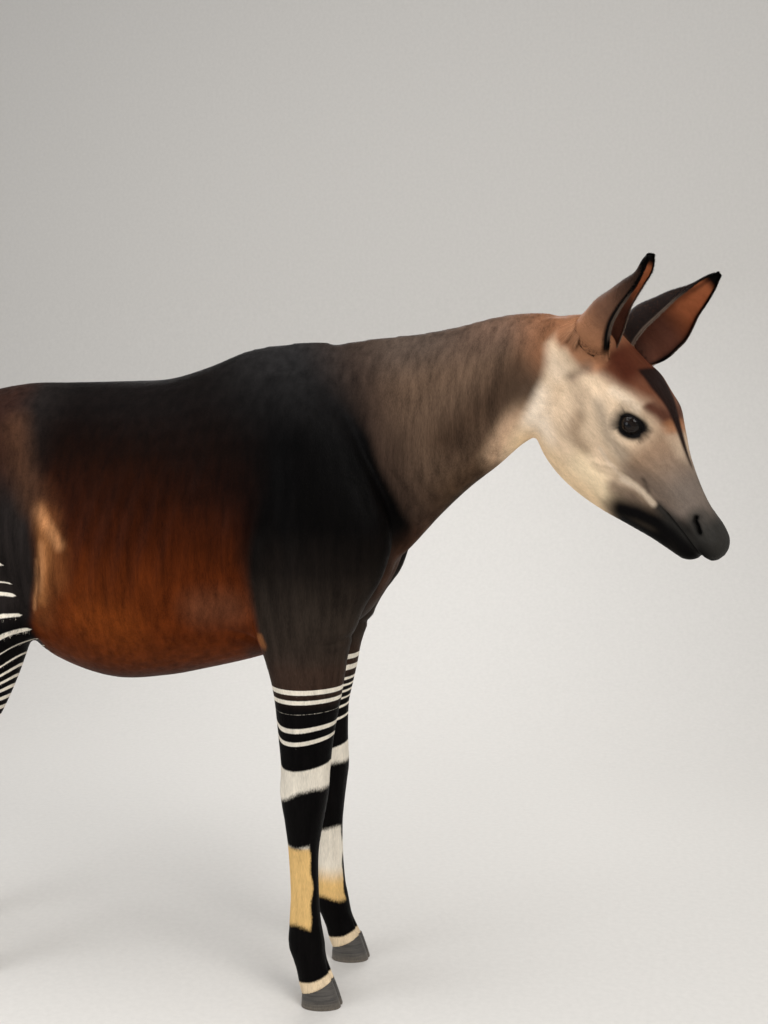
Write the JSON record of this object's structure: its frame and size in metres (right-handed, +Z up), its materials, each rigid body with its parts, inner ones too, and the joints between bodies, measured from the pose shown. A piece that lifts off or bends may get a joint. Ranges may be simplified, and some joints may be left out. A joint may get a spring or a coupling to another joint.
{
  "type": "standing okapi",
  "caption": "Life-size okapi standing on its hooves with its head lowered and turned aside, dark coat, pale cheeks, striped legs and large cupped ears.",
  "frame": {"origin": "middle of the box of the whole animal, on the floor under its hooves", "axes": "+X from the tail towards the muzzle, +Y to the animal's left, +Z up"},
  "size_m": [2.1118, 0.5732, 1.667],
  "materials": {
    "body_coat": "short dense dark chocolate coat",
    "neck_coat": "short taupe brown coat",
    "head_coat": "very short cream coat with a dark muzzle",
    "ear_coat": "short reddish brown coat",
    "leg_coat": "short black coat with cream white stripes",
    "tail_hair": "long black hair",
    "eye": "wet and glossy",
    "hoof_horn": "dull dark horn"
  },
  "bodies": {
    "root": {"ear_left": "ear_coat", "ear_right": "ear_coat", "eye_left": "eye", "eye_right": "eye", "fore_cannon_left": "leg_coat", "fore_cannon_right": "leg_coat", "fore_upper_leg_left": "leg_coat", "fore_upper_leg_right": "leg_coat", "head": "head_coat", "hind_cannon_left": "leg_coat", "hind_cannon_right": "leg_coat", "hind_upper_leg_left": "leg_coat", "hind_upper_leg_right": "leg_coat", "hoof_fore_left_inner": "hoof_horn", "hoof_fore_left_outer": "hoof_horn", "hoof_fore_right_inner": "hoof_horn", "hoof_fore_right_outer": "hoof_horn", "hoof_hind_left_inner": "hoof_horn", "hoof_hind_left_outer": "hoof_horn", "hoof_hind_right_inner": "hoof_horn", "hoof_hind_right_outer": "hoof_horn", "neck": "neck_coat", "tail": "leg_coat", "tail_tuft": "tail_hair", "torso": "body_coat"}
  },
  "joints": []
}
